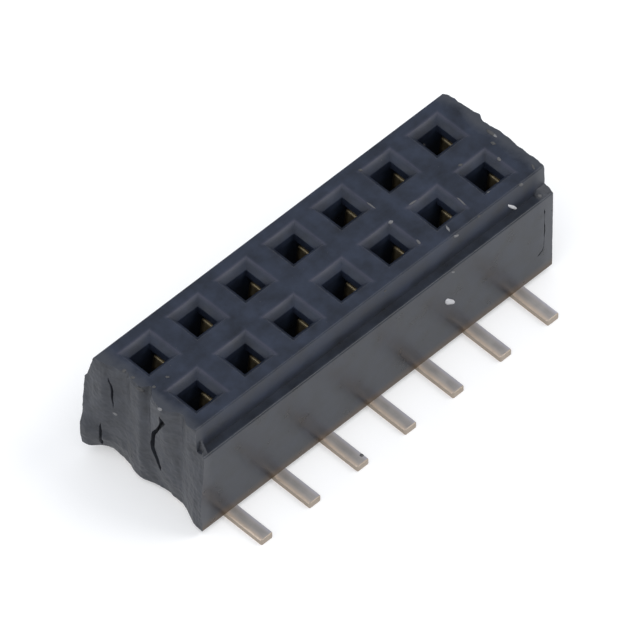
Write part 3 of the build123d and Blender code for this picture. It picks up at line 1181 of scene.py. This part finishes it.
def finish_contacts():
    """Gives every contact rounded stamped edges and its plated finish."""
    _, contacts, _, _ = settings()
    finish = plated_strip()
    for name in CONTACTS:
        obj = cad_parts[name]
        weld = obj.modifiers.new("weld", "WELD")
        weld.merge_threshold = TAIL_STEP
        flat = obj.modifiers.new("flat faces", "DECIMATE")
        flat.decimate_type = "DISSOLVE"
        flat.angle_limit = FLAT_TURN
        bevel = obj.modifiers.new("stamped edge", "BEVEL")
        bevel.width = contacts.edge_radius
        bevel.segments = 2
        bevel.limit_method = "ANGLE"
        bevel.angle_limit = SHARP_TURN
        bevel.use_clamp_overlap = False
        closed = obj.modifiers.new("closed slivers", "WELD")
        closed.merge_threshold = SAME_PLACE
        for slot in obj.material_slots:
            slot.material = finish


def fleck(place, normal, along, length, width, seed):
    """One small uneven lump that lies on a surface, with its length along a direction."""
    unevenness = 0.35
    flatness = 0.5
    bm = bmesh.new()
    bmesh.ops.create_icosphere(bm, subdivisions=2, radius=0.5)
    along = (along - normal * along.dot(normal)).normalized()
    turn = Matrix((along, normal.cross(along), normal)).transposed()
    for vert in bm.verts:
        swell = 1 + unevenness * noise.noise(vert.co * 3.0 + Vector((seed, 0, 0)))
        flat = Vector((vert.co.x * length, vert.co.y * width, vert.co.z * width * flatness)) * swell
        vert.co = place + turn @ flat
    return bm


def lay_flecks(body):
    """The flecks that the photograph shows, each laid where the camera's rays through it meet the strip."""
    _, _, _, stage = settings()
    surface = surface_of([body, *[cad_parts[name] for name in CONTACTS]])
    mesh = bpy.data.meshes.new("flecks")
    joined = bmesh.new()
    for seed, (name, (column, row, length, width, angle, tone)) in enumerate(FLECKS.items()):
        hit, normal = seen_place(surface, column, row, name)
        half = length * MM / 2 * PICTURE / stage.view_width
        aside = half * math.cos(math.radians(angle))
        above = half * math.sin(math.radians(angle))
        first, _ = seen_place(surface, column - aside, row + above, name)
        last, _ = seen_place(surface, column + aside, row - above, name)
        reach = min((last - first).length, 2 * length * MM)
        lump = fleck(hit, normal, last - first, reach, width * MM, seed)
        for face in lump.faces:
            face.material_index = list(FLECK_TONES).index(tone)
            face.smooth = True
        lump.to_mesh(mesh)
        lump.free()
        joined.from_mesh(mesh)
    joined.to_mesh(mesh)
    joined.free()
    flecks = link_mesh("flecks", mesh)
    for tone, value in FLECK_TONES.items():
        material, _, shader = new_material("fleck_" + tone)
        shader.inputs["Base Color"].default_value = (value, value, value * 1.03, 1.0)
        shader.inputs["Roughness"].default_value = 0.7
        flecks.data.materials.append(material)
    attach(flecks, "root")


def make_floor():
    """The pale floor: it keeps the shadow, and reads as white."""
    _, _, _, stage = settings()
    half = stage.floor_size / 2
    bm = bmesh.new()
    square = ((-half, -half), (half, -half), (half, half), (-half, half))
    bm.faces.new([bm.verts.new((x, y, CAD_BOX[0].z)) for x, y in square])
    floor = link_mesh("floor", mesh_from(bm, "floor"))
    material = bpy.data.materials.new("floor")
    material.use_nodes = True
    tree = material.node_tree
    tree.nodes.clear()
    matt = tree.nodes.new("ShaderNodeBsdfDiffuse")
    matt.inputs["Color"].default_value = (*stage.floor, 1.0)
    glow = tree.nodes.new("ShaderNodeEmission")
    rays = tree.nodes.new("ShaderNodeLightPath").outputs
    seen = math_node(tree, "MAXIMUM", rays["Is Camera Ray"], rays["Is Glossy Ray"])
    seen = math_node(tree, "MAXIMUM", seen, rays["Is Transmission Ray"])
    link(tree, math_node(tree, "MULTIPLY", seen, stage.floor_glow), glow.inputs["Strength"])
    both = tree.nodes.new("ShaderNodeAddShader")
    link(tree, matt.outputs[0], both.inputs[0])
    link(tree, glow.outputs[0], both.inputs[1])
    out = tree.nodes.new("ShaderNodeOutputMaterial")
    link(tree, both.outputs[0], out.inputs["Surface"])
    floor.data.materials.append(material)


def make_sky():
    """Soft light: bright low down, dim half way up, a soft box overhead, and white where it is seen."""
    world = bpy.data.worlds.new("soft_room")
    bpy.context.scene.world = world
    world.use_nodes = True
    tree = world.node_tree
    tree.nodes.clear()
    nodes = tree.nodes
    _, _, height = axes_node(tree, nodes.new("ShaderNodeTexCoord").outputs["Generated"])
    ramp = nodes.new("ShaderNodeValToRGB")
    ramp.color_ramp.elements[0].position = 0.0
    ramp.color_ramp.elements[0].color = (1.0, 0.99, 0.97, 1)
    ramp.color_ramp.elements[1].position = 1.0
    ramp.color_ramp.elements[1].color = (0.86, 0.91, 1.0, 1)
    for position, colour in SKY_STEPS:
        ramp.color_ramp.elements.new(position).color = (*colour, 1)
    link(tree, height, ramp.inputs["Fac"])
    soft = nodes.new("ShaderNodeBackground")
    soft.inputs["Strength"].default_value = 1.0
    link(tree, ramp.outputs["Color"], soft.inputs["Color"])
    white = nodes.new("ShaderNodeBackground")
    white.inputs["Color"].default_value = (1, 1, 1, 1)
    seen = nodes.new("ShaderNodeLightPath")
    mix = nodes.new("ShaderNodeMixShader")
    link(tree, seen.outputs["Is Camera Ray"], mix.inputs["Fac"])
    link(tree, soft.outputs[0], mix.inputs[1])
    link(tree, white.outputs[0], mix.inputs[2])
    out = nodes.new("ShaderNodeOutputWorld")
    link(tree, mix.outputs[0], out.inputs["Surface"])


def area_light(name, place, size, power, colour):
    """A soft box that looks at the strip."""
    lamp = bpy.data.lights.new(name, "AREA")
    lamp.shape = "DISK"
    lamp.size = size
    lamp.energy = power
    lamp.color = colour
    obj = bpy.data.objects.new(name, lamp)
    bpy.context.scene.collection.objects.link(obj)
    obj.location = place
    obj.rotation_mode = "QUATERNION"
    obj.rotation_quaternion = (LOOK_AT - Vector(place)).to_track_quat("-Z", "Y")


def towards_camera():
    """The direction from the strip to the camera."""
    _, _, _, stage = settings()
    return Vector((
        math.sin(stage.azimuth) * math.cos(stage.elevation),
        -math.cos(stage.azimuth) * math.cos(stage.elevation),
        math.sin(stage.elevation),
    ))


def camera_distance():
    """How far the camera stands from the strip, in metres."""
    _, _, _, stage = settings()
    return stage.view_width * stage.lens / SENSOR_WIDTH


def camera_place():
    """Where the camera stands."""
    return LOOK_AT + towards_camera() * camera_distance()


def camera_turn():
    """The turn of the camera."""
    return (-towards_camera()).to_track_quat("-Z", "Y")


def make_camera():
    """The photograph's long-lens view."""
    _, _, _, stage = settings()
    data = bpy.data.cameras.new("camera")
    data.lens = stage.lens
    data.sensor_width = SENSOR_WIDTH
    data.clip_start = camera_distance() * 0.2
    data.clip_end = camera_distance() * 4
    camera = bpy.data.objects.new("camera", data)
    bpy.context.scene.collection.objects.link(camera)
    camera.location = camera_place()
    camera.rotation_mode = "QUATERNION"
    camera.rotation_quaternion = camera_turn()
    bpy.context.scene.camera = camera


class STRIP_OT_housing(bpy.types.Operator):
    """Make the moulding with its sockets and broken ends"""

    bl_idname = "strip.housing"
    bl_label = "Housing"

    def execute(self, context):
        body = make_housing()
        if not body.data.polygons:
            raise RuntimeError("the housing came out empty")
        for polygon in body.data.polygons:
            polygon.use_smooth = True
        body.data.set_sharp_from_angle(angle=SMOOTH_TURN)
        weighted = body.modifiers.new("weighted normals", "WEIGHTED_NORMAL")
        weighted.keep_sharp = True
        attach(body, "root")
        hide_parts("housing")
        lay_flecks(body)
        return {"FINISHED"}


class STRIP_OT_contacts(bpy.types.Operator):
    """Finish the stamped contacts"""

    bl_idname = "strip.contacts"
    bl_label = "Contacts"

    def execute(self, context):
        if not CONTACTS:
            raise RuntimeError("the frame has no contacts")
        finish_contacts()
        return {"FINISHED"}


class STRIP_OT_stage(bpy.types.Operator):
    """Set up the floor, the light and the camera"""

    bl_idname = "strip.stage"
    bl_label = "Stage"

    def execute(self, context):
        make_floor()
        make_sky()
        make_camera()
        area_light("window", (-0.25, -0.10, 0.55), size=0.45, power=1.0, colour=(1.0, 0.99, 0.97))
        area_light("front_box", (0.27, -0.26, 0.47), size=0.30, power=1.1, colour=(1.0, 0.98, 0.95))
        area_light("back_box", (-0.46, 0.28, 0.27), size=0.30, power=0.3, colour=(0.92, 0.96, 1.0))
        context.scene.view_settings.view_transform = "Standard"
        return {"FINISHED"}


class STRIP_PT_panel(bpy.types.Panel):
    """Lists the steps that dress the strip"""

    bl_label = "Socket strip"
    bl_idname = "STRIP_PT_panel"
    bl_space_type = "VIEW_3D"
    bl_region_type = "UI"
    bl_category = "Socket strip"

    def draw(self, context):
        for operator in OPERATORS:
            self.layout.operator(operator.bl_idname)


GROUPS = {
    "strip_housing": HousingSettings,
    "strip_contacts": ContactSettings,
    "strip_dust": DustSettings,
    "strip_stage": StageSettings,
}
OPERATORS = (STRIP_OT_stage, STRIP_OT_housing, STRIP_OT_contacts)


def register():
    for cls in (*GROUPS.values(), *OPERATORS, STRIP_PT_panel):
        bpy.utils.register_class(cls)
    for name, group in GROUPS.items():
        setattr(bpy.types.Scene, name, PointerProperty(type=group))


def unregister():
    for name in GROUPS:
        delattr(bpy.types.Scene, name)
    for cls in reversed((*GROUPS.values(), *OPERATORS, STRIP_PT_panel)):
        bpy.utils.unregister_class(cls)


def main():
    register()
    bpy.ops.strip.stage()
    bpy.ops.strip.housing()
    bpy.ops.strip.contacts()


if __name__ == "__main__":
    main()
